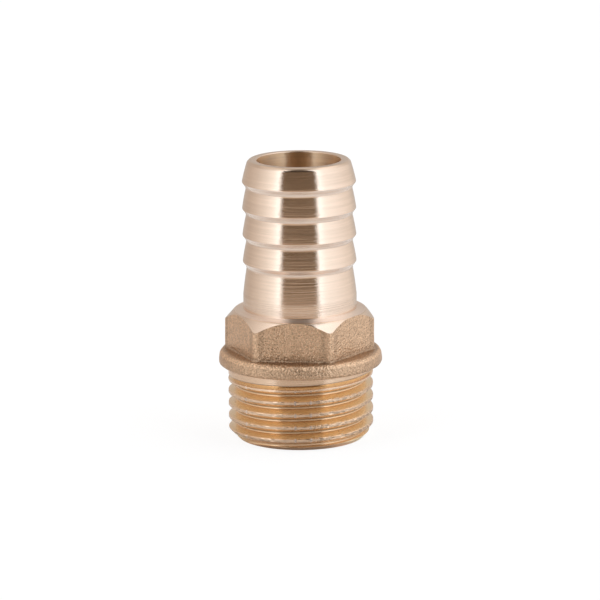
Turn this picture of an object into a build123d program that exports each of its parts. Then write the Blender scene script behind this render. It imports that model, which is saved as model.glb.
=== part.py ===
from build123d import *
import math
import os

# Hose nipple: a barbed hose tail, a spanner hexagon with a collar under it, and a male pipe thread,
# forged and turned from one piece of brass. Sizes are in millimetres and angles in degrees.
# The origin is the middle of the thread's end face, and +Z runs up to the mouth of the hose tail.
# A flat of the hexagon faces -Y.

# Lengths along the axis, stacked from the thread's end face upwards
THREAD_LENGTH = 10.75
COLLAR_THICKNESS = 2.08
HEX_HEIGHT = 5.97
TAIL_LENGTH = 21.52

# Hose tail: cones that widen downwards to sharp barbs, then a plain root next to the hexagon
BARB_DIA = 16.2
BARB_COUNT = 4
BARB_PITCH = 3.82
TIP_TO_BARB = 3.24
BARB_LAND = 0.14
BARB_BACK = 0.74
NECK_DIA = 15.1
NECK_ROUND = 0.8
TIP_DIA = 14.82
TIP_EDGE = 0.35
ROOT_LENGTH = 2.0

# Spanner hexagon: its turned top is a shallow cone round the tail, of the shoulder's width, then a
# steep one over the corners, with a round between the two. The forged hexagon sits a little off the
# axis, towards -X.
HEX_ACROSS_FLATS = 18.88
HEX_CORNER_ROUND = 1.1
HEX_OFFSET = 0.12
SHOULDER_WIDTH = 1.33
SHOULDER_DROP = 0.24
CROWN_SLOPE = 49.0
CROWN_ROUND = 0.6

# Forged collar: a disc with a rounded rim, its top rising a little towards the hexagon. It stands
# out past the thread by its overhang.
COLLAR_OVERHANG = 1.305
COLLAR_TOP_ROUND = 0.95
COLLAR_UNDER_ROUND = 0.35
COLLAR_RISE = 0.08

# Male parallel pipe thread, size G 1/2: 55 degree form, 14 turns to the inch, right-handed.
# Its last full groove lies the plain band's length below the collar, on the side given.
THREAD_DIA = 20.75
THREAD_DEPTH = 1.06
THREAD_PITCH = 1.814
THREAD_FLANK_ANGLE = 27.5
CREST_LAND = 0.41
PLAIN_BAND = 1.82
RUN_OUT_SIDE = 90.0
RUN_OUT_SWEEP = 90.0
END_CHAMFER_DEPTH = 1.355
END_CHAMFER_LENGTH = 1.4

# Score that the chaser leaves just above the last crest, for most of a turn past the run-out
SCORE_WIDTH = 0.62
SCORE_DEPTH = 0.45
SCORE_RISE = 0.4
SCORE_TURNS = 0.8

# Way through the middle, wider on the thread's side, with the drill's cone between the two
TAIL_BORE_DIA = 12.0
THREAD_BORE_DIA = 15.0
THREAD_BORE_DEPTH = 14.0
DRILL_HALF_ANGLE = 59.0
BORE_EDGE = 0.1

# How far a cutter stands out of the metal that it cuts, and how wide the ring that cuts the chamfer is
CUTTER_REACH = 0.2
CHAMFER_CUTTER_WIDTH = 3.0

COLLAR_DIA = THREAD_DIA + 2 * COLLAR_OVERHANG
COLLAR_TOP = THREAD_LENGTH + COLLAR_THICKNESS
HEX_TOP = COLLAR_TOP + HEX_HEIGHT
TIP = HEX_TOP + TAIL_LENGTH


def turned(points, rounds=()):
    """Solid of revolution about Z from (radius, height) points, with a radius at the corners named."""
    outline = make_face(Polyline(*points, close=True))
    for corner, radius in rounds:
        outline = fillet(outline.vertices().sort_by_distance((*corner, 0))[0], radius)
    return revolve(Plane.XZ * outline, Axis.Z)


def hose_tail():
    """Barbed tail: each cone ends in a narrow land, and a bevel behind it drops to a rounded neck."""
    barb, neck, tip = BARB_DIA / 2, NECK_DIA / 2, TIP_DIA / 2
    points = [(0, TIP), (tip - TIP_EDGE, TIP), (tip, TIP - TIP_EDGE)]
    rounds = []
    for index in range(BARB_COUNT):
        edge = TIP - TIP_TO_BARB - index * BARB_PITCH
        points += [(barb, edge + BARB_LAND), (barb, edge), (neck, edge - BARB_BACK)]
        rounds.append((points[-1], NECK_ROUND))
    points += [(barb, HEX_TOP + ROOT_LENGTH), (barb, COLLAR_TOP), (0, COLLAR_TOP)]
    return turned(points, rounds)


def hexagon():
    """Hexagon with rounded corners, its top turned to a shallow cone and a steep one."""
    across_corners = HEX_ACROSS_FLATS / math.cos(math.pi / 6)
    outline = RegularPolygon(across_corners / 2, 6)
    outline = fillet(outline.vertices(), HEX_CORNER_ROUND)
    prism = Pos(-HEX_OFFSET, 0, THREAD_LENGTH) * extrude(outline, HEX_TOP - THREAD_LENGTH)
    shoulder = (BARB_DIA / 2 + SHOULDER_WIDTH, HEX_TOP - SHOULDER_DROP)
    spread = (shoulder[1] - THREAD_LENGTH) / math.tan(math.radians(CROWN_SLOPE))
    foot = (shoulder[0] + spread, THREAD_LENGTH)
    points = [(0, THREAD_LENGTH), foot, shoulder, (BARB_DIA / 2, HEX_TOP), (0, HEX_TOP)]
    return prism & turned(points, [(shoulder, CROWN_ROUND)])


def collar():
    """Forged collar between the hexagon and the thread."""
    under, top = (COLLAR_DIA / 2, THREAD_LENGTH), (COLLAR_DIA / 2, COLLAR_TOP)
    seat = (BARB_DIA / 2, COLLAR_TOP + COLLAR_RISE)
    points = [(0, THREAD_LENGTH), under, top, seat, (0, seat[1])]
    return turned(points, [(under, COLLAR_UNDER_ROUND), (top, COLLAR_TOP_ROUND)])


def thread_section(radius):
    """Section of the thread's groove with its root at this radius, in a plane that holds the axis."""
    half = (THREAD_PITCH - CREST_LAND) / 2
    slope = math.tan(math.radians(THREAD_FLANK_ANGLE))
    root_half = half - THREAD_DEPTH * slope
    outer_half = half + CUTTER_REACH * slope
    outer = radius + THREAD_DEPTH + CUTTER_REACH
    points = [(radius, -root_half), (outer, -outer_half), (outer, outer_half), (radius, root_half)]
    return Plane.XZ * make_face(Polyline(*points, close=True))


def score_section(radius):
    """Section of the shallow score, a V with its point at this radius."""
    outer_half = SCORE_WIDTH / 2 * (SCORE_DEPTH + CUTTER_REACH) / SCORE_DEPTH
    outer = radius + SCORE_DEPTH + CUTTER_REACH
    points = [(radius, 0), (outer, -outer_half), (outer, outer_half)]
    return Plane.XZ * make_face(Polyline(*points, close=True))


def helical_cut(blank, section, depth, bottom, turns, start_side):
    """Cuts a right-handed groove at the thread's pitch, which then spirals out of the metal."""
    root = THREAD_DIA / 2 - depth
    height = turns * THREAD_PITCH
    rise = THREAD_PITCH * RUN_OUT_SWEEP / 360
    slant = math.atan((depth + CUTTER_REACH) / rise)
    spiral = Helix(THREAD_PITCH / math.cos(slant), rise, root, cone_angle=math.degrees(slant))
    run = sweep(section(root), Helix(THREAD_PITCH, height, root), is_frenet=True)
    run_out = Pos(0, 0, height) * Rot(0, 0, 360 * turns) * sweep(section(root), spiral, is_frenet=True)
    place = Pos(0, 0, bottom) * Rot(0, 0, start_side)
    return blank - place * run - place * run_out


def thread():
    """Threaded shank: the grooves are cut from plain bar, and its end is chamfered after them."""
    shank = Cylinder(THREAD_DIA / 2, THREAD_LENGTH, align=(Align.CENTER, Align.CENTER, Align.MIN))
    last_groove = THREAD_LENGTH - PLAIN_BAND
    turns = (last_groove + THREAD_PITCH) / THREAD_PITCH
    score_bottom = last_groove - THREAD_PITCH / 2 + SCORE_RISE
    shank = helical_cut(shank, score_section, SCORE_DEPTH, score_bottom, SCORE_TURNS, RUN_OUT_SIDE)
    start_side = RUN_OUT_SIDE - 360 * turns
    shank = helical_cut(shank, thread_section, THREAD_DEPTH, -THREAD_PITCH, turns, start_side)
    overlap = (CHAMFER_CUTTER_WIDTH - END_CHAMFER_DEPTH) / 2
    drop = overlap * END_CHAMFER_LENGTH / END_CHAMFER_DEPTH
    inner, outer = THREAD_DIA / 2 - END_CHAMFER_DEPTH - overlap, THREAD_DIA / 2 + overlap
    ring = [(inner, -drop), (outer, -drop), (outer, END_CHAMFER_LENGTH + drop)]
    return shank - turned(ring)


def waterway():
    """Stepped bore with a small bevel at each mouth."""
    wide, narrow = THREAD_BORE_DIA / 2, TAIL_BORE_DIA / 2
    step = THREAD_BORE_DEPTH + (wide - narrow) / math.tan(math.radians(DRILL_HALF_ANGLE))
    points = [
        (0, -CUTTER_REACH),
        (wide + BORE_EDGE + CUTTER_REACH, -CUTTER_REACH),
        (wide, BORE_EDGE),
        (wide, THREAD_BORE_DEPTH),
        (narrow, step),
        (narrow, TIP - BORE_EDGE),
        (narrow + BORE_EDGE + CUTTER_REACH, TIP + CUTTER_REACH),
        (0, TIP + CUTTER_REACH),
    ]
    return turned(points)


nipple = hose_tail() + hexagon() + collar() + thread() - waterway()
nipple.label = "hose_nipple"
os.makedirs("parts", exist_ok=True)
export_step(nipple, "parts/hose_nipple.step")
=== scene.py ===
import math

import bmesh
import bpy
from mathutils import Matrix, Vector


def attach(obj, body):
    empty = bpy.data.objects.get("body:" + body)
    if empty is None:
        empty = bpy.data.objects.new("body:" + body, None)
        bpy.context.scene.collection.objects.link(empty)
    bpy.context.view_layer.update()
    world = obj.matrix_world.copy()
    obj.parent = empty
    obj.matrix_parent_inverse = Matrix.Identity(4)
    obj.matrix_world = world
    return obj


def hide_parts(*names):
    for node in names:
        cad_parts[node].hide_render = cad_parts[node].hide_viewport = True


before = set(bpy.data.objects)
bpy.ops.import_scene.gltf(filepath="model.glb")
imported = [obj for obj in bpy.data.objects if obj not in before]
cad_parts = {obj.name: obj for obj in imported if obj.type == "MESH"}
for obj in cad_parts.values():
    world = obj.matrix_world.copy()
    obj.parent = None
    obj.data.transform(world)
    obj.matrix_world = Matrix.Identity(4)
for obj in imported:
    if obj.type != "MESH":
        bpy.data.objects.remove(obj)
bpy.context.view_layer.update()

# Lengths in this script are in millimetres and angles in degrees, until the metal is scaled to metres.
MM = 0.001

# Heights of the piece, from the thread's end face upwards
THREAD_LENGTH = 10.75
COLLAR_TOP = 12.83
HEX_TOP = 18.8
TIP = 40.25

# Hose tail
BARB_RADIUS = 8.1
BARB_COUNT = 4
BARB_PITCH = 3.82
TIP_TO_BARB = 3.17
BARB_LAND = 0.14
BARB_BACK = 0.74
NECK_RADIUS = 7.55
NECK_ROUND = 0.8
TIP_RADIUS = 7.41
TIP_EDGE = 0.35
TIP_ROUND = 0.38
ROOT_LENGTH = 2.0
ROOT_ROUND = 1.0
EDGE_ROUND = 0.06
CONE_SWELL = 0.03
FOOT_COVE = 0.06

# Hexagon, a little off the axis, and its turned top: a shallow cone, then a steep one
HEX_HALF_WIDTH = 9.44
HEX_CORNER_ROUND = 1.1
HEX_OFFSET = 0.12
SHOULDER_RADIUS = 9.43
SHOULDER_DROP = 0.24
CROWN_START = 8.6
CROWN_SLOPE = 49.0
CROWN_ROUND = 0.35
HEX_FOOT_COVE = 0.25

# Collar, whose side leans in and swells a little, and the apron between it and the hexagon
COLLAR_RADIUS = 11.68
COLLAR_LEAN = 0.08
COLLAR_SWELL = 0.03
COLLAR_TOP_ROUND = 0.95
COLLAR_UNDER_ROUND = 0.35
COLLAR_RISE = 0.08
APRON_END_ANGLE = 32.0

# Thread, its run-out, the chamfer at its end and the score above its last crest
THREAD_RADIUS = 10.375
THREAD_DEPTH = 1.06
THREAD_PITCH = 1.814
THREAD_FLANK_ANGLE = 27.5
CREST_LAND = 0.41
PLAIN_BAND = 1.82
RUN_OUT_SIDE = 90.0
RUN_OUT_SWEEP = 90.0
RUN_OUT_REACH = 0.2
END_FACE_RADIUS = 9.02
END_CHAMFER_LENGTH = 1.4
SCORE_WIDTH = 0.62
SCORE_DEPTH = 0.45
SCORE_RISE = 0.4
SCORE_TURNS = 0.8
SCORE_FADE_IN = 0.05
SCORE_FADE_OUT = 0.18

# Where there is no score, its tool stays this far off the metal
SCORE_CLEAR = 0.1

# How softly the cuts of the thread end and meet, and how far the score stays off its sharp point
GROOVE_ROUND = 0.12
CREST_ROUND = 0.07
SCORE_ROUND = 0.06
SCORE_FLAT = 0.03
SCORE_EDGE_ROUND = 0.05
CHAMFER_ROUND = 0.04

# Bore
TAIL_BORE_RADIUS = 6.0
THREAD_BORE_RADIUS = 7.5
THREAD_BORE_DEPTH = 14.0
DRILL_HALF_ANGLE = 59.0
BORE_EDGE = 0.1

# How far the forged skin rises and falls, and how deep the dents in the crests are
FORGING_ROUGHNESS = 0.05
CREST_DAMAGE = 0.05

# A painted dark line, standing in for the dark reflection beside each corner round, runs down the
# hexagon this far in on the flat. It is full within the first distance from its middle and gone at
# the second, and has this share of the painted shade at the hexagon's foot.
CORNER_SHADE_LINE_INSET = 0.35
CORNER_SHADE_LINE = (0.1, 0.5)
CORNER_LINE_SHADE_SHARE = 0.85

# The painted shade at the hexagon's foot comes in and goes out between these shares of the way down
# the hexagon's wall and of the way out on the apron
NOOK_SHADE_ON_WALL = (0.93, 1.0)
NOOK_SHADE_ON_APRON = (0.7, 1.0)

# Heights between which one finish gives way to the next
LAST_GROOVE = THREAD_LENGTH - PLAIN_BAND
CHAMFER_END = (END_CHAMFER_LENGTH - 0.3, END_CHAMFER_LENGTH + 0.1)
RIDGES_END = (LAST_GROOVE - 0.33, LAST_GROOVE + 0.17)
PLAIN_START = (LAST_GROOVE - 0.03, LAST_GROOVE + 0.57)
COLLAR_END = (COLLAR_TOP + 0.07, COLLAR_TOP + 0.47)
SHOULDER_END = (HEX_TOP + 1.2, HEX_TOP + 3.2)

# Columns round the piece, how far apart two points may be and still be one, and the bend past which
# an edge is sharp
COLUMNS = 300
MERGE_DISTANCE = 0.0004
SHARP_ANGLE = 38.0

# What a stretch of the outline is, which chooses its rule and its finish
TURNED, CROWN, HEX_WALL, HEX_FOOT, APRON, FORGED, THREAD, BORE = range(8)


class Value:
    """One output of a node, on which sums are written as they are on numbers."""

    def __init__(self, net, socket):
        self.net, self.socket = net, socket

    def out(self, name):
        """Another output of the same node."""
        return Value(self.net, self.socket.node.outputs[name])

    def _sum(self, operation, *others):
        inputs = dict(enumerate((self, *others)))
        return self.net.add("ShaderNodeMath", {"operation": operation}, inputs)

    def _turned_sum(self, operation, other):
        return self.net.add("ShaderNodeMath", {"operation": operation}, {0: other, 1: self})

    def __add__(self, other):
        return self._sum("ADD", other)

    def __radd__(self, other):
        return self._sum("ADD", other)

    def __sub__(self, other):
        return self._sum("SUBTRACT", other)

    def __rsub__(self, other):
        return self._turned_sum("SUBTRACT", other)

    def __mul__(self, other):
        return self._sum("MULTIPLY", other)

    def __rmul__(self, other):
        return self._sum("MULTIPLY", other)

    def __truediv__(self, other):
        return self._sum("DIVIDE", other)

    def __rtruediv__(self, other):
        return self._turned_sum("DIVIDE", other)

    def __pow__(self, other):
        return self._sum("POWER", other)

    def __mod__(self, other):
        return self._sum("FLOORED_MODULO", other)

    def __neg__(self):
        return self._sum("MULTIPLY", -1)

    def __abs__(self):
        return self._sum("ABSOLUTE")

    def __gt__(self, other):
        return self._sum("GREATER_THAN", other)

    def __lt__(self, other):
        return self._sum("LESS_THAN", other)

    def round(self):
        return self._sum("ROUND")

    def floor(self):
        return self._sum("FLOOR")

    def root(self):
        return self._sum("SQRT")

    def sin(self):
        return self._sum("SINE")

    def cos(self):
        return self._sum("COSINE")

    def asin(self):
        return self._sum("ARCSINE")

    def angle_from(self, across):
        """Angle whose sine goes with this value and whose cosine goes with the other."""
        return self._sum("ARCTAN2", across)

    def least(self, other):
        return self._sum("MINIMUM", other)

    def most(self, other):
        return self._sum("MAXIMUM", other)

    def soft_least(self, other, width):
        return self._sum("SMOOTH_MIN", other, width)

    def soft_most(self, other, width):
        return self._sum("SMOOTH_MAX", other, width)

    def within(self, low, high):
        """0 below low and 1 above high, with a soft step between them."""
        settings = {"interpolation_type": "SMOOTHSTEP", "clamp": True}
        return self.net.add("ShaderNodeMapRange", settings, {0: self, 1: low, 2: high})

    def blend(self, other, share):
        """This value where share is 0 and the other where it is 1."""
        return self + (other - self) * share


class Net:
    """A node tree, to which every node is added by one method."""

    def __init__(self, tree):
        self.tree = tree

    def add(self, kind, settings=None, inputs=None, output=0):
        """Adds a node, makes its settings, then sets or links its inputs, and gives one output."""
        node = self.tree.nodes.new(kind)
        for name, setting in (settings or {}).items():
            if name == "stops":
                self._set_stops(node.color_ramp, setting)
            else:
                setattr(node, name, setting)
        for name, given in (inputs or {}).items():
            self._feed(node.inputs[name], given)
        return Value(self, node.outputs[output]) if len(node.outputs) else None

    def _feed(self, socket, given):
        if isinstance(given, Value):
            self.tree.links.new(given.socket, socket)
        else:
            socket.default_value = given

    def _set_stops(self, ramp, stops):
        while len(ramp.elements) < len(stops):
            ramp.elements.new(0.5)
        for element, (place, colour) in zip(ramp.elements, stops):
            element.position = place
            element.color = colour

    def vector(self, x=0.0, y=0.0, z=0.0):
        return self.add("ShaderNodeCombineXYZ", None, {0: x, 1: y, 2: z})

    def split(self, vector):
        first = self.add("ShaderNodeSeparateXYZ", None, {0: vector})
        return first, first.out("Y"), first.out("Z")

    def noise(self, vector, scale, detail=2.0, roughness=0.5):
        inputs = {"Vector": vector, "Scale": scale, "Detail": detail, "Roughness": roughness}
        return self.add("ShaderNodeTexNoise", None, inputs)


# The outline of the piece, as one closed loop of points from the mouth of the tail down its outside
# and up the bore. Each point is (radius, height, kind, share), and share is used by the rules.


def arc(centre, radius, start, end, steps, kind=TURNED):
    """Points on an arc, its angles counted from the outward direction towards +Z."""
    points = []
    for step in range(steps + 1):
        angle = math.radians(start + (end - start) * step / steps)
        r = centre[0] + radius * math.cos(angle)
        points.append((r, centre[1] + radius * math.sin(angle), kind, 0.0))
    return points


def line(start, end, kind=TURNED, swell=0.0, hold=0.05):
    """Points on a straight stretch, with one close to each end that keeps its shading flat.

    A swell pushes its middle outwards by that much.
    """
    near = min(hold / math.dist(start, end), 0.25)
    middle = (0.25, 0.5, 0.75) if swell else ()
    points = []
    for t in (0.0, near, *middle, 1.0 - near, 1.0):
        r = start[0] + (end[0] - start[0]) * t + 4 * swell * t * (1 - t)
        points.append((r, start[1] + (end[1] - start[1]) * t, kind, 0.0))
    return points


def rounded(points, kind=TURNED):
    """Outline through (radius, height, round, steps) corners, each rounded by its own radius.

    A fifth value is the swell of the run that leads to that corner.
    """
    outline = []
    for before, here, after in zip(points, points[1:], points[2:]):
        corner = Vector(here[:2])
        to_before = (Vector(before[:2]) - corner).normalized()
        to_after = (Vector(after[:2]) - corner).normalized()
        half = to_before.angle(to_after) / 2
        radius, steps = here[2], here[3]
        middle = corner + (to_before + to_after).normalized() * radius / math.sin(half)
        first = corner + to_before * radius / math.tan(half) - middle
        last = corner + to_after * radius / math.tan(half) - middle
        start = math.degrees(math.atan2(first.y, first.x))
        turn = math.degrees(math.atan2(last.y, last.x)) - start
        turn = (turn + 180) % 360 - 180
        outline.append((arc(middle, radius, start, start + turn, steps, kind), sum(here[4:])))
    joined = []
    start = points[0][:2]
    for curve, swell in outline:
        joined += line(start, curve[0][:2], kind, swell)[:-1] + curve[:-1]
        start = curve[-1][:2]
    return joined + line(start, points[-1][:2], kind)


def tail_corners():
    """Corners of the barbed tail from the mouth's bevel down to the hexagon's shoulder."""
    mouth = TAIL_BORE_RADIUS + BORE_EDGE
    corners = [(mouth, TIP)]
    corners.append((TIP_RADIUS - TIP_EDGE, TIP, TIP_ROUND, 3))
    corners.append((TIP_RADIUS, TIP - TIP_EDGE, TIP_ROUND, 3))
    for index in range(BARB_COUNT):
        edge = TIP - TIP_TO_BARB - index * BARB_PITCH
        corners.append((BARB_RADIUS, edge + BARB_LAND, EDGE_ROUND, 1, CONE_SWELL))
        corners.append((BARB_RADIUS, edge, EDGE_ROUND, 3))
        corners.append((NECK_RADIUS, edge - BARB_BACK, NECK_ROUND, 6))
    corners.append((BARB_RADIUS, HEX_TOP + ROOT_LENGTH, ROOT_ROUND, 2, CONE_SWELL))
    corners.append((BARB_RADIUS, HEX_TOP, FOOT_COVE, 5))
    shallow = SHOULDER_DROP / (SHOULDER_RADIUS - BARB_RADIUS)
    corners.append((CROWN_START, HEX_TOP - (CROWN_START - BARB_RADIUS) * shallow))
    return corners


def shares(kind, count):
    """Points of a stretch whose place is worked out in the rule, from its share of the way."""
    return [(0.0, 0.0, kind, step / count) for step in range(count + 1)]


def held_shares(kind, count, near=0.015):
    """The same, with a point close to each end that keeps the shading flat."""
    steps = [0.0, near] + [step / count for step in range(1, count)] + [1.0 - near, 1.0]
    return [(0.0, 0.0, kind, step) for step in steps]


def collar_rounding():
    """The collar's rounded rim and its underside, from where the apron ends."""
    rim = COLLAR_RADIUS - COLLAR_LEAN - COLLAR_TOP_ROUND
    slope = math.atan(COLLAR_RISE / (COLLAR_RADIUS - BARB_RADIUS))
    height = COLLAR_TOP + COLLAR_TOP_ROUND * (math.tan(slope) - 1 / math.cos(slope))
    under = (COLLAR_RADIUS - COLLAR_UNDER_ROUND, THREAD_LENGTH + COLLAR_UNDER_ROUND)
    top = arc((rim, height), COLLAR_TOP_ROUND, 90 - APRON_END_ANGLE, 0, 6, FORGED)
    side = line(top[-1][:2], (COLLAR_RADIUS, under[1]), FORGED, COLLAR_SWELL)[1:]
    below = arc(under, COLLAR_UNDER_ROUND, 0, -90, 7, FORGED)[1:]
    face = line(below[-1][:2], (THREAD_RADIUS, THREAD_LENGTH), FORGED)[1:]
    return top + side + below + face


def thread_rows():
    """Rows along the thread: the same heights in every turn, counted from a groove's middle."""
    half = THREAD_PITCH / 2
    above = [0.0, 0.07, 0.15, 0.23, 0.36, 0.5, 0.61, 0.67, 0.73, 0.8, half]
    below = [0.07, 0.15, 0.21, 0.3, 0.4, 0.507, 0.6, 0.67, 0.73, 0.82]
    steps = sorted(above + [-step for step in below])
    turns = math.ceil((THREAD_LENGTH + THREAD_PITCH) / THREAD_PITCH) + 1
    heights = [
        LAST_GROOVE + (1 - turn) * THREAD_PITCH + step for turn in range(turns + 1) for step in steps
    ]
    low, high = -THREAD_PITCH, THREAD_LENGTH
    kept = sorted((h for h in heights if low < h < high), reverse=True)
    return [(0.0, h, THREAD, 0.0) for h in [high, *kept, low]]


def bore_outline():
    """The end face, the bore from the thread's side up to the tail's mouth, and the mouth's bevel."""
    wide, narrow = THREAD_BORE_RADIUS, TAIL_BORE_RADIUS
    step = THREAD_BORE_DEPTH + (wide - narrow) / math.tan(math.radians(DRILL_HALF_ANGLE))
    face = line((END_FACE_RADIUS, 0.0), (wide + BORE_EDGE, 0.0))
    bevel = line((wide + BORE_EDGE, 0.0), (wide, BORE_EDGE))
    wide_wall = line((wide, BORE_EDGE), (wide, THREAD_BORE_DEPTH), BORE)
    cone = line((wide, THREAD_BORE_DEPTH), (narrow, step), BORE)
    wall = line((narrow, step), (narrow, TIP - BORE_EDGE), BORE)
    mouth = line((narrow, TIP - BORE_EDGE), (narrow + BORE_EDGE, TIP))
    return face + bevel + wide_wall + cone + wall + mouth


def whole_outline():
    """All the stretches, in the order in which they follow each other."""
    points = rounded(tail_corners())
    points += shares(CROWN, 18)
    points += held_shares(HEX_WALL, 6)
    points += shares(HEX_FOOT, 4)
    points += shares(APRON, 3)
    points += collar_rounding()
    points += thread_rows()
    points += bore_outline()
    return points


def outline_mesh(points):
    """Mesh that holds the outline's points, with their kind and share, for the geometry nodes."""
    mesh = bpy.data.meshes.new("outline")
    mesh.from_pydata([(r, 0.0, z) for r, z, _, _ in points], [], [])
    kinds = mesh.attributes.new("kind", "FLOAT", "POINT")
    along = mesh.attributes.new("share", "FLOAT", "POINT")
    for index, (_, _, kind, share) in enumerate(points):
        kinds.data[index].value = kind
        along.data[index].value = share
    return mesh


# Sizes that the geometry nodes take as inputs, by name
SIZES = {
    "Columns": COLUMNS,
    "Hexagon half width": HEX_HALF_WIDTH,
    "Hexagon corner round": HEX_CORNER_ROUND,
    "Hexagon offset": HEX_OFFSET,
    "Hexagon top": HEX_TOP,
    "Shoulder radius": SHOULDER_RADIUS,
    "Shoulder drop": SHOULDER_DROP,
    "Crown round": CROWN_ROUND,
    "Foot cove": HEX_FOOT_COVE,
    "Collar rim radius": COLLAR_RADIUS - COLLAR_LEAN,
    "Collar top": COLLAR_TOP,
    "Collar top round": COLLAR_TOP_ROUND,
    "Thread length": THREAD_LENGTH,
    "Thread radius": THREAD_RADIUS,
    "Thread depth": THREAD_DEPTH,
    "Thread pitch": THREAD_PITCH,
    "Crest land": CREST_LAND,
    "Plain band": PLAIN_BAND,
    "End face radius": END_FACE_RADIUS,
    "End chamfer length": END_CHAMFER_LENGTH,
    "Score width": SCORE_WIDTH,
    "Score depth": SCORE_DEPTH,
    "Forging roughness": FORGING_ROUGHNESS,
    "Crest damage": CREST_DAMAGE,
}


def hexagon_radius(angle, size):
    """Distance from the middle to the hexagon's outline, and the painted dark line beside its corner
    rounds.
    """
    sixth, half = math.radians(60), math.radians(30)
    from_flat = abs(angle % sixth - half)
    flat = size["Hexagon half width"] / from_flat.cos()
    inner = size["Hexagon half width"] - size["Hexagon corner round"]
    middle = inner / math.cos(half)
    to_corner = half - from_flat
    square = size["Hexagon corner round"] ** 2 - (middle * to_corner.sin()) ** 2
    corner = middle * to_corner.cos() + square.most(0.0).root()
    tangent = (inner * math.tan(half)).angle_from(size["Hexagon half width"])
    from_line = abs((from_flat - tangent) * size["Hexagon half width"] + CORNER_SHADE_LINE_INSET)
    return flat.blend(corner, from_flat > tangent), 1.0 - from_line.within(*CORNER_SHADE_LINE)


def crown_height(radius, size):
    """Height of the hexagon's turned top: the lower of its two cones."""
    shallow = SHOULDER_DROP / (SHOULDER_RADIUS - BARB_RADIUS)
    steep = math.tan(math.radians(CROWN_SLOPE))
    shoulder = size["Hexagon top"] - size["Shoulder drop"]
    past = radius - size["Shoulder radius"]
    return (shoulder - past * shallow).soft_least(shoulder - past * steep, size["Crown round"])


def collar_height(radius, size):
    """Height of the collar's top: a shallow cone, and an arc over its rim."""
    slope = math.atan(COLLAR_RISE / (COLLAR_RADIUS - BARB_RADIUS))
    cone = size["Collar top"] + (size["Collar rim radius"] - radius) * math.tan(slope)
    round_ = size["Collar top round"]
    rim = size["Collar rim radius"] - round_
    middle = size["Collar top"] + round_ * (math.tan(slope) - 1 / math.cos(slope))
    over = middle + (round_**2 - (radius - rim).most(0.0) ** 2).most(0.0).root()
    return cone.blend(over, radius > rim + round_ * math.sin(slope))


def thread_radius(angle, height, size):
    """Radius of the threaded shank: grooves with their run-out, the score and the end chamfer."""
    pitch, crest, full = size["Thread pitch"], size["Thread radius"], size["Thread depth"]
    last = size["Thread length"] - size["Plain band"]
    turn = angle / math.tau
    first = last + pitch * turn
    groove = first + ((height - first) / pitch).round() * pitch
    past = ((groove - last) / (pitch * (RUN_OUT_SWEEP / 360))).most(0.0)
    depth = full - past * (full + RUN_OUT_REACH)
    slope = math.tan(math.radians(THREAD_FLANK_ANGLE))
    root_half = (pitch - size["Crest land"]) / 2 - full * slope
    flank = (abs(height - groove) - root_half) / slope
    grooved = flank.soft_most(0.0, GROOVE_ROUND) + (crest - depth)
    threaded = grooved.soft_least(crest, CREST_ROUND)

    score_middle = first - pitch / 2 + SCORE_RISE
    kept = turn.within(0.0, SCORE_FADE_IN)
    kept = kept * (1.0 - turn.within(SCORE_TURNS, SCORE_TURNS + SCORE_FADE_OUT))
    point = crest - ((size["Score depth"] + SCORE_CLEAR) * kept - SCORE_CLEAR)
    score_slope = size["Score depth"] * 2 / size["Score width"]
    score = abs(height - score_middle) * score_slope + point
    score = score.soft_most(point + SCORE_FLAT, SCORE_ROUND)
    scored = threaded.soft_least(score, SCORE_EDGE_ROUND)

    spread = (crest - size["End face radius"]) / size["End chamfer length"]
    chamfer = size["End face radius"] + height * spread
    return scored.soft_least(chamfer, CHAMFER_ROUND)


def hexagon_rules(angle, share, size):
    """Radius, height and shift towards -X of the stretches that follow the hexagon, by their kind.

    They are its turned top, its wall, the cove at its foot and the apron out to the collar's rim.
    """
    hexagon, corner_shade_line = hexagon_radius(angle, size)
    aside, cove = size["Hexagon offset"], size["Foot cove"]

    def from_axis(radius, shift):
        """Distance from the axis, for a radius about a middle that is shifted towards -X."""
        return (radius * radius + shift * shift - radius * shift * angle.cos() * 2.0).root()

    crown_radius = hexagon * share + (1.0 - share) * CROWN_START
    crown_shift = aside * share
    crown = (crown_radius, crown_height(from_axis(crown_radius, crown_shift), size), crown_shift)
    foot = collar_height(from_axis(hexagon + cove, aside), size)
    wall_top = crown_height(from_axis(hexagon, aside), size)
    wall = (hexagon, wall_top.blend(foot + cove, share), aside)
    quarter = share * (math.pi / 2)
    bend = (hexagon + cove * (1.0 - quarter.cos()), foot + cove * (1.0 - quarter.sin()), aside)
    inwards = 1.0 - math.sin(math.radians(APRON_END_ANGLE))
    apron_end = size["Collar rim radius"] - size["Collar top round"] * inwards
    apron_radius = (hexagon + cove).blend(apron_end, share)
    apron_shift = aside * (1.0 - share)
    apron = (apron_radius, collar_height(from_axis(apron_radius, apron_shift), size), apron_shift)
    return {CROWN: crown, HEX_WALL: wall, HEX_FOOT: bend, APRON: apron}, corner_shade_line


def sized_tree():
    """Empty tree with the sizes as inputs: the tree, its net, the outline that it is given, the sizes."""
    tree = bpy.data.node_groups.new("nipple body", "GeometryNodeTree")
    face = tree.interface
    face.new_socket("Geometry", in_out="INPUT", socket_type="NodeSocketGeometry")
    for name, size in SIZES.items():
        kind = "NodeSocketInt" if isinstance(size, int) else "NodeSocketFloat"
        face.new_socket(name, in_out="INPUT", socket_type=kind).default_value = size
    face.new_socket("Geometry", in_out="OUTPUT", socket_type="NodeSocketGeometry")
    net = Net(tree)
    given = net.add("NodeGroupInput")
    return tree, net, given.out("Geometry"), {name: given.out(name) for name in SIZES}


def attribute(net, name):
    """Value that is stored on the geometry under a name."""
    return net.add("GeometryNodeInputNamedAttribute", {"data_type": "FLOAT"}, {"Name": name})


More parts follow.
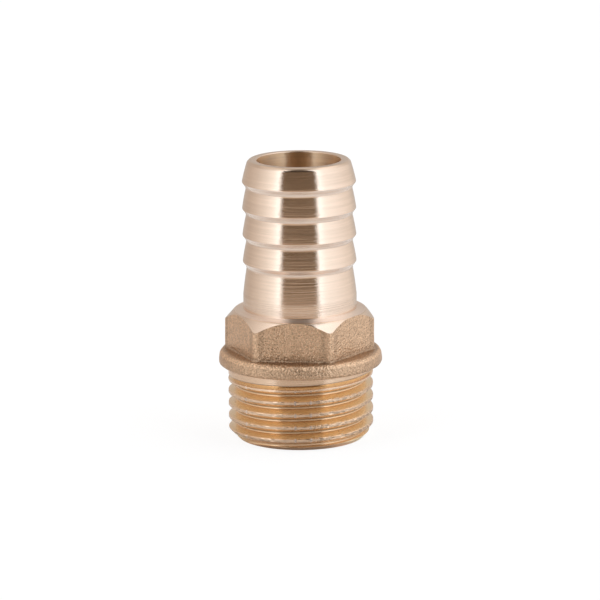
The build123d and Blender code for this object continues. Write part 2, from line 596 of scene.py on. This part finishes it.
def keep(net, geometry, name, value, domain="POINT", data="FLOAT"):
    """Stores a value on the geometry under a name."""
    settings = {"data_type": data, "domain": domain}
    inputs = {"Geometry": geometry, "Name": name, "Value": value}
    return net.add("GeometryNodeStoreNamedAttribute", settings, inputs)


def turned_grid(net, outline, size):
    """Grid with a row for each point of the outline and its columns round the axis.

    Also gives that point's place, kind and share, and the angle of the column from the run-out's side.
    """
    rows = net.add("GeometryNodeAttributeDomainSize", {"component": "MESH"}, {0: outline})
    columns = size["Columns"]
    grid = net.add("GeometryNodeMeshGrid", None, {"Vertices X": columns + 1, "Vertices Y": rows})
    index = net.add("GeometryNodeInputIndex")
    row, column = index % rows, (index / rows).floor()

    def from_row(data, value):
        inputs = {"Geometry": outline, "Value": value, "Index": row}
        return net.add("GeometryNodeSampleIndex", {"data_type": data}, inputs)

    place = from_row("FLOAT_VECTOR", net.add("GeometryNodeInputPosition"))
    kind, share = from_row("FLOAT", attribute(net, "kind")), from_row("FLOAT", attribute(net, "share"))
    return grid, place, kind, share, column / columns * math.tau


def set_finishes(net, body):
    """Gives each stretch its finish."""
    for finish, first, last in (
        ("turned brass", TURNED, CROWN),
        ("forged brass", HEX_WALL, FORGED),
        ("threaded brass", THREAD, THREAD),
        ("bored brass", BORE, BORE),
    ):
        chosen = (attribute(net, "kind") > first - 0.5) * (attribute(net, "kind") < last + 0.5)
        inputs = {"Geometry": body, "Selection": chosen > 0.5, "Material": MATERIALS[finish]}
        body = net.add("GeometryNodeSetMaterial", None, inputs)
    return body


def forge_and_dent(net, body, size):
    """Moves the metal along its normal: the forged skin's rise and fall, and the dents in the crests."""
    position = net.add("GeometryNodeInputPosition")
    normal = net.add("GeometryNodeInputNormal")
    broad = net.noise(position, 0.45, 1.0) - 0.5
    middling = net.noise(position, 1.6, 1.0) - 0.5
    swell = (broad * 2.2 + middling * 0.8) * attribute(net, "forged") * size["Forging roughness"]
    x, y, z = net.split(position)
    on_crest = (1.0 - attribute(net, "cut").within(0.0, 0.12)) * attribute(net, "thread")
    on_crest = on_crest * (1.0 - z.within(*RIDGES_END))
    around = y.angle_from(x)
    lane = (z - around / math.tau * size["Thread pitch"]) / size["Thread pitch"]
    torn = net.noise(net.vector(around.cos() * 7.0, around.sin() * 7.0, lane * 9.0), 3.0, 1.0)
    dents = (torn - 0.55).most(0.0) * -4.0 * on_crest * size["Crest damage"]
    push = net.add("ShaderNodeVectorMath", {"operation": "SCALE"}, {0: normal, "Scale": swell + dents})
    return net.add("GeometryNodeSetPosition", None, {"Geometry": body, "Offset": push})


def body_tree():
    """Geometry nodes that turn the outline round the axis, each stretch by its own rule."""
    tree, net, outline, size = sized_tree()
    grid, place, kind, share, turn = turned_grid(net, outline, size)
    radius, _, height = net.split(place)
    angle = turn + math.radians(RUN_OUT_SIDE)
    rules, corner_shade_line = hexagon_rules(angle, share, size)
    twisted = (height + size["Thread pitch"] * turn / math.tau).most(0.0).least(size["Thread length"])
    threaded = thread_radius(turn, twisted, size)
    rules[THREAD] = (threaded, twisted, 0.0)

    def is_kind(wanted):
        return net.add("ShaderNodeMath", {"operation": "COMPARE"}, {0: kind, 1: wanted, 2: 0.25})

    shift = 0.0
    for wanted, (own_radius, own_height, own_shift) in rules.items():
        chosen = is_kind(wanted)
        radius = radius.blend(own_radius, chosen)
        height = height.blend(own_height, chosen)
        shift = chosen * own_shift + shift
    spot = net.vector(radius * angle.cos() - shift, radius * angle.sin(), height)
    body = net.add("GeometryNodeSetPosition", None, {"Geometry": grid, "Position": spot})

    is_thread = is_kind(THREAD)
    wall_shade = share.within(*NOOK_SHADE_ON_WALL).most(corner_shade_line * CORNER_LINE_SHADE_SHARE)
    apron_shade = 1.0 - share.within(*NOOK_SHADE_ON_APRON)
    body = keep(net, body, "kind", kind)
    body = keep(net, body, "forged", (kind > HEX_WALL - 0.5) * (kind < FORGED + 0.5))
    body = keep(net, body, "thread", is_thread)
    body = keep(net, body, "cut", is_thread * ((size["Thread radius"] - threaded) / size["Thread depth"]))
    # Painted shade at the hexagon's foot: in its cove, low on its wall, on the apron beside it, and along
    # the dark line beside each corner round
    nook = is_kind(HEX_FOOT) + is_kind(HEX_WALL) * wall_shade + is_kind(APRON) * apron_shade
    body = keep(net, body, "nook", nook)
    body = set_finishes(net, body)
    body = net.add("GeometryNodeMergeByDistance", None, {"Geometry": body, "Distance": MERGE_DISTANCE})
    body = forge_and_dent(net, body, size)

    body = net.add("GeometryNodeTransform", None, {"Geometry": body, "Scale": (MM, MM, MM)})
    bend_angle = net.add("GeometryNodeInputMeshEdgeAngle")
    body = keep(net, body, "sharp_edge", bend_angle > math.radians(SHARP_ANGLE), "EDGE", "BOOLEAN")
    body = net.add("GeometryNodeRealizeInstances", None, {"Geometry": body})
    net.add("NodeGroupOutput", None, {0: body})
    return tree


# Finishes: the colours of the turned metal and of the painted light on its pale faces and the nicks,
# of the thread's plain band, crests and grooves, of the painted shade on its groove floors and lower
# flanks, of the bore and of the forged skin
BRASS = (0.83, 0.64, 0.5)
PAINTED_PALE_LIGHT = (1.0, 0.83, 0.71)
PLAIN = (0.97, 0.69, 0.48)
CREST = (0.95, 0.68, 0.47)
CHASED = (0.91, 0.675, 0.425)
SHADED = (0.93, 0.63, 0.38)
BORED = (0.93, 0.68, 0.45)
SKIN = (0.73, 0.485, 0.31)

# Turn of the metal's brushed reflections that draws them out along the axis
ALONG_AXIS = 0.25


def finish_net(name):
    """Material with its node tree, and the object coordinates in millimetres."""
    material = bpy.data.materials.new(name)
    material.use_nodes = True
    material.node_tree.nodes.clear()
    net = Net(material.node_tree)
    here = net.add("ShaderNodeTexCoord", None, None, "Object")
    here = net.add("ShaderNodeVectorMath", {"operation": "SCALE"}, {0: here, "Scale": 1 / MM})
    return material, net, here


def tint(net, colour, amount):
    """The colour, made lighter or darker by an amount that varies."""
    return net.add("ShaderNodeVectorMath", {"operation": "SCALE"}, {0: colour, "Scale": amount})


def blend_colours(net, share, first, second):
    """The first colour where share is 0 and the second where it is 1."""
    pair = [colour if isinstance(colour, Value) else (*colour, 1.0) for colour in (first, second)]
    return net.add("ShaderNodeMix", {"data_type": "RGBA"}, {0: share, 6: pair[0], 7: pair[1]}, 2)


def brass_shader(net, colour, roughness, height, depth, brushed=0.0):
    """Ends a finish: metal of this colour and roughness, with its height as a relief of this depth."""
    bump = net.add("ShaderNodeBump", None, {"Distance": depth * MM, "Height": height})
    shader = net.add("ShaderNodeBsdfPrincipled", None, {
        "Base Color": colour,
        "Metallic": 1.0,
        "Roughness": roughness,
        "Anisotropic": brushed,
        "Anisotropic Rotation": ALONG_AXIS,
        "Normal": bump,
    })
    net.add("ShaderNodeOutputMaterial", None, {"Surface": shader})


def upward_share(net):
    """How far the surface faces up: 1 on top, 0 on a wall and -1 underneath."""
    return net.split(net.add("ShaderNodeNewGeometry", None, None, "Normal"))[2]


def kept_value(net, name):
    """The same in a material: a value that the geometry nodes stored on the mesh."""
    return net.add("ShaderNodeAttribute", {"attribute_name": name}, None, "Fac")


def ring_lines(net, here, fineness, drift):
    """Turning marks: fine rings round the axis, on walls and on faces, that fade in and out."""
    x, y, z = net.split(here)
    radius = (x * x + y * y).root()
    ring = (z + radius) * fineness
    place = net.vector(x / radius * drift, y / radius * drift, ring)
    return net.noise(place, 1.0, 3.0, 0.6)


def turned_brass():
    """Bright turned metal of the tail and the hexagon's top, with painted light on the barbs' backs and the
    shoulder.
    """
    material, net, here = finish_net("turned brass")
    lines = ring_lines(net, here, 3.4, 0.35)
    fine = ring_lines(net, here, 9.0, 0.9)
    broad = net.noise(here, 0.35, 1.0)
    shade = 0.82 + lines * 0.26 + broad * 0.08
    upward = upward_share(net)
    _, _, z = net.split(here)
    shoulder = upward.within(0.85, 0.97) * (1.0 - z.within(*SHOULDER_END))
    # Painted light: faces that look down, such as the barbs' backs, and the shoulder are painted paler; the
    # shoulder is also rougher
    pale = (-upward).within(0.1, 0.5).most(shoulder)
    colour = tint(net, blend_colours(net, pale, BRASS, PAINTED_PALE_LIGHT), shade)
    roughness = 0.13 + lines * 0.07 + shoulder * 0.3
    brass_shader(net, colour, roughness, lines * 0.8 + fine * 0.4, 0.045, 0.88)
    return material


def forged_brass():
    """Grainy forged skin, darker on the collar, painted shade in the nooks, painted highlight on rounded
    edges.
    """
    material, net, here = finish_net("forged brass")
    grain = net.noise(here, 3.6, 1.0, 0.7)
    coarse = net.noise(here, 1.2, 2.0)
    nook = kept_value(net, "nook")
    _, _, z = net.split(here)
    upward = upward_share(net)
    # Painted highlight on the rounded edges that face partly up, kept off the painted shade at the foot
    rim_highlight = upward.within(0.2, 0.45) * (1.0 - upward.within(0.7, 0.9)) * (1.0 - nook)
    on_collar = 1.0 - z.within(*COLLAR_END)
    # Painted light and shade: darker at the hexagon's foot and lighter on those edges; the collar is darker
    painted_shade_and_highlight = 1.0 - nook * 0.22 - on_collar * 0.13 + rim_highlight * grain * 0.5
    shade = (0.3 + grain * 1.2 + coarse * 0.2) * painted_shade_and_highlight
    brass_shader(net, tint(net, SKIN, shade), 0.4 - grain * 0.12, grain + coarse * 0.4, 0.2)
    return material


# Sides, in degrees from +X, on which the crests are nicked, each nick with a painted highlight. A
# nick is full within the first distance from its middle and gone at the second.
NICKS = (-132.6, -88.5, -76.3)
NICK = (0.08, 0.2)

# The crests are torn on the side towards +X, between these two distances from the middle
TORN_SIDE = (1.5, 4.0)


def threaded_brass():
    """Chased metal of the thread, its plain band and its end, with nicked and torn crests and painted light
    and shade.
    """
    material, net, here = finish_net("threaded brass")
    lines = ring_lines(net, here, 5.5, 2.5)
    broad = net.noise(here, 0.9, 2.0)
    cut = kept_value(net, "cut")
    x, y, z = net.split(here)
    upward = upward_share(net)
    under = -upward
    end = 1.0 - z.within(*CHAMFER_END)
    # Painted shade on the faces that look a little down: the rounds and lower flanks under the crests
    fillet_shade = under.within(-0.1, 0.15) * (1.0 - under.within(0.65, 0.85)) * (1.0 - end)
    chamfer = under.within(0.3, 0.6) * end
    painted_light_sides = abs(x).within(3.0, 9.0)
    on_crest = 1.0 - cut.within(0.0, 0.25)
    # Painted shade on the groove floors
    floor = cut.within(0.78, 0.95)
    plain = on_crest * z.within(*PLAIN_START)
    ridge = on_crest * (1.0 - z.within(*RIDGES_END))
    around = y.angle_from(x)
    nicks = sum(1.0 - (abs(around - math.radians(side)) * THREAD_RADIUS).within(*NICK) for side in NICKS)
    nicked = nicks * ridge
    dashes = net.noise(net.vector(x * 1.5, y * 1.5, z * 3.0), 1.0, 1.0).within(0.5, 0.6)
    torn = dashes * x.within(*TORN_SIDE) * ridge
    colour = blend_colours(net, floor.most(fillet_shade), CHASED, SHADED)
    colour = blend_colours(net, on_crest, colour, CREST)
    colour = blend_colours(net, plain.most(chamfer), colour, PLAIN)
    # The nicks are painted pale, a painted highlight, on top of their roughness and bump
    colour = blend_colours(net, nicked.least(1.0), colour, PAINTED_PALE_LIGHT)
    shade = 0.88 + lines * 0.14 + broad * 0.1 - fillet_shade * 0.42 - floor * 0.08 - torn * 0.25
    # Painted light and shade on the end chamfer: darker in its middle, lighter towards +X and -X
    shade = shade * (1.0 + chamfer * (painted_light_sides * 0.5 - 0.22))
    roughness = 0.23 + lines * 0.07 + torn * 0.15 + nicked * 0.3
    height = lines + nicked * 0.6 - torn * 1.5
    brass_shader(net, tint(net, colour, shade), roughness, height, 0.02, 0.75)
    return material


def bored_brass():
    """Bore, whose coarse rings blur what it reflects."""
    material, net, here = finish_net("bored brass")
    lines = ring_lines(net, here, 2.2, 0.3)
    fine = ring_lines(net, here, 9.0, 0.4)
    shade = 0.75 + lines * 0.5
    brass_shader(net, tint(net, BORED, shade), 0.31 + lines * 0.06, lines * 0.7 + fine * 0.5, 0.03, 1.0)
    return material


MATERIALS = {
    "turned brass": turned_brass(),
    "forged brass": forged_brass(),
    "threaded brass": threaded_brass(),
    "bored brass": bored_brass(),
}


def make_body():
    """Builds the whole piece with the geometry nodes, as one plain closed mesh."""
    carrier = bpy.data.objects.new("outline", outline_mesh(whole_outline()))
    bpy.context.scene.collection.objects.link(carrier)
    modifier = carrier.modifiers.new("body", "NODES")
    modifier.node_group = tree = body_tree()
    for socket in tree.interface.items_tree:
        if socket.in_out == "INPUT" and socket.name in SIZES:
            modifier[socket.identifier] = SIZES[socket.name]
    view = bpy.context.evaluated_depsgraph_get()
    mesh = bpy.data.meshes.new_from_object(carrier.evaluated_get(view), depsgraph=view)
    bpy.data.objects.remove(carrier)
    shell = bmesh.new()
    shell.from_mesh(mesh)
    if shell.calc_volume(signed=True) < 0:
        bmesh.ops.reverse_faces(shell, faces=shell.faces)
    shell.to_mesh(mesh)
    shell.free()
    mesh.name = "nipple"
    for polygon in mesh.polygons:
        polygon.use_smooth = True
    body = bpy.data.objects.new("nipple", mesh)
    bpy.context.scene.collection.objects.link(body)
    return body


nipple = make_body()
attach(nipple, "root")
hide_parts("hose_nipple")

# Studio: a tent of white cloth over a pale floor, with a gap in front that shows a dark, warm room

CAMERA_SIDE = 6.0

# Colour of the tent's side in each direction round the object, counted from the camera's side to the
# right, as (degrees, colour)
TENT = (
    (-180, (0.56, 0.52, 0.48)),
    (-150, (0.58, 0.53, 0.49)),
    (-125, (0.62, 0.57, 0.53)),
    (-99, (0.77, 0.74, 0.72)),
    (-74, (1.0, 1.01, 1.03)),
    (-55, (1.25, 1.32, 1.38)),
    (-42, (1.65, 1.8, 2.0)),
    (42, (1.6, 1.78, 2.0)),
    (55, (1.28, 1.38, 1.48)),
    (92, (1.1, 1.13, 1.18)),
    (128, (0.9, 0.89, 0.88)),
    (150, (0.68, 0.65, 0.62)),
    (180, (0.56, 0.52, 0.48)),
)

# Colour in the gap by height, as (degrees above the horizon, colour)
GAP = (
    (-90, (1.0, 0.98, 0.96)),
    (-45, (1.0, 0.96, 0.93)),
    (-28, (0.88, 0.78, 0.68)),
    (-13, (0.74, 0.61, 0.5)),
    (0, (0.4, 0.32, 0.25)),
    (8, (0.08, 0.062, 0.047)),
    (12, (0.09, 0.07, 0.052)),
    (18, (0.4, 0.3, 0.21)),
    (25, (0.07, 0.055, 0.042)),
    (40, (0.05, 0.04, 0.03)),
    (68, (0.08, 0.065, 0.05)),
    (80, (0.15, 0.13, 0.11)),
    (90, (0.5, 0.48, 0.46)),
)
GAP_FROM, GAP_TO, GAP_EDGE = -38.4, 37.7, 1.0

# Under the tent lies the floor near it and over it the ceiling, each blended in between two heights.
# The tent's top is brighter than its side, and more so behind the object.
NEAR_FLOOR, NEAR_FLOOR_EDGE = (0.75, 0.74, 0.72), (-42, -20)
CEILING, CEILING_EDGE = (0.55, 0.53, 0.51), (62, 75)
TENT_TOP_EDGE = (35, 50)
TENT_TOP_BRIGHTER, TENT_TOP_BRIGHTER_BEHIND = 0.16, 0.5
BEHIND_EDGE = (110, 150)


def studio_world():
    """World that the object sees as the tent with its gap, and the camera as plain white."""
    world = bpy.data.worlds.new("tent")
    world.use_nodes = True
    world.node_tree.nodes.clear()
    net = Net(world.node_tree)
    bpy.context.scene.world = world
    direction = net.add("ShaderNodeTexCoord", None, None, "Generated")
    x, y, z = net.split(direction)
    side = math.radians(CAMERA_SIDE)
    front = x * math.sin(side) - y * math.cos(side)
    right = x * math.cos(side) + y * math.sin(side)
    around = right.angle_from(front) / math.tau * 360
    above = z.asin() / math.tau * 360

    def ramp(table, degrees, low, high):
        stops = [((angle - low) / (high - low), (*colour, 1.0)) for angle, colour in table]
        return net.add("ShaderNodeValToRGB", {"stops": stops}, {0: (degrees - low) / (high - low)})

    tent = ramp(TENT, around, -180, 180)
    tent = blend_colours(net, 1.0 - above.within(*NEAR_FLOOR_EDGE), tent, NEAR_FLOOR)
    behind = abs(around).within(*BEHIND_EDGE)
    brighter = TENT_TOP_BRIGHTER + behind * (TENT_TOP_BRIGHTER_BEHIND - TENT_TOP_BRIGHTER)
    tent = tint(net, tent, 1.0 + above.within(*TENT_TOP_EDGE) * brighter)
    tent = blend_colours(net, above.within(*CEILING_EDGE), tent, CEILING)
    in_gap = around.within(GAP_FROM - GAP_EDGE, GAP_FROM)
    in_gap = in_gap * (1.0 - around.within(GAP_TO, GAP_TO + GAP_EDGE))
    seen_by_object = blend_colours(net, in_gap, tent, ramp(GAP, above, -90, 90))
    seen = net.add("ShaderNodeLightPath", None, None, "Is Camera Ray")
    colour = blend_colours(net, seen, seen_by_object, (1.0, 1.0, 1.0))
    light = net.add("ShaderNodeBackground", None, {"Color": colour, "Strength": 1.0})
    net.add("ShaderNodeOutputWorld", None, {"Surface": light})


# In the metal's reflections the near floor is lit paper, which gives way to what lies beyond it
# between these distances from the axis
PAPER_FROM, PAPER_TO = 55.0, 88.0

# Half the floor's width, in metres
FLOOR_REACH = 3.0

# The camera sees the floor as this much white and the rest cloth, which keeps the shadow. The two
# together come to a full white on the lit floor.
FLOOR_WHITE_SHARE = 0.8
FLOOR_WHITE = 1.09
CLOTH = (0.96, 0.96, 0.96, 1.0)


def studio_floor():
    """Pale floor on which the piece stands."""
    material = bpy.data.materials.new("pale floor")
    material.use_nodes = True
    material.node_tree.nodes.clear()
    net = Net(material.node_tree)
    cloth = net.add("ShaderNodeBsdfDiffuse", None, {"Color": CLOTH})
    white = net.add("ShaderNodeEmission", None, {"Strength": FLOOR_WHITE})
    seen = net.add("ShaderNodeLightPath", None, None, "Is Camera Ray")
    paper = net.add("ShaderNodeMixShader", None, {0: seen * FLOOR_WHITE_SHARE, 1: cloth, 2: white})
    x, y, _ = net.split(net.add("ShaderNodeTexCoord", None, None, "Object"))
    far = (x * x + y * y).root().within(PAPER_FROM * MM, PAPER_TO * MM)
    reflected = net.add("ShaderNodeLightPath", None, None, "Is Glossy Ray")
    beyond = net.add("ShaderNodeBsdfTransparent")
    paper = net.add("ShaderNodeMixShader", None, {0: far * reflected, 1: paper, 2: beyond})
    net.add("ShaderNodeOutputMaterial", None, {"Surface": paper})
    corners = [(x * FLOOR_REACH, y * FLOOR_REACH, 0) for x, y in ((-1, -1), (1, -1), (1, 1), (-1, 1))]
    mesh = bpy.data.meshes.new("floor")
    mesh.from_pydata(corners, [], [(0, 1, 2, 3)])
    mesh.materials.append(material)
    floor = bpy.data.objects.new("floor", mesh)
    bpy.context.scene.collection.objects.link(floor)


studio_world()
studio_floor()

# Camera, as the photograph was taken: a long lens, a little above the piece and rolled a little. It
# aims lower than its target by a few of the picture's pixels. Its distances are in metres.
CAMERA_DISTANCE = 0.54
CAMERA_HEIGHT_ANGLE = 12.8
CAMERA_TARGET = 0.02042
CAMERA_ROLL = 0.52
PICTURE_WIDTH = 600
PIXELS_PER_METRE = 6998.0
AIM_DROP_PIXELS = 4.42
SENSOR = 36.0
LENS = PIXELS_PER_METRE * CAMERA_DISTANCE / PICTURE_WIDTH * SENSOR


def make_camera():
    """Camera that looks at the piece from the front, a little to its right."""
    a, e = math.radians(CAMERA_SIDE), math.radians(CAMERA_HEIGHT_ANGLE)
    back = Vector((math.sin(a) * math.cos(e), -math.cos(a) * math.cos(e), math.sin(e)))
    data = bpy.data.cameras.new("camera")
    data.sensor_width = SENSOR
    data.lens = LENS
    data.clip_start, data.clip_end = 0.01, 20
    camera = bpy.data.objects.new("camera", data)
    bpy.context.scene.collection.objects.link(camera)
    camera.location = Vector((0, 0, CAMERA_TARGET)) + back * CAMERA_DISTANCE
    aim = Vector((0, 0, CAMERA_TARGET - AIM_DROP_PIXELS / PIXELS_PER_METRE / math.cos(e)))
    look = (aim - camera.location).to_track_quat("-Z", "Y").to_matrix()
    roll = Matrix.Rotation(math.radians(-CAMERA_ROLL), 3, "Z")
    camera.rotation_euler = (look @ roll).to_euler()
    bpy.context.scene.camera = camera


make_camera()

bpy.context.scene.view_settings.view_transform = "Standard"
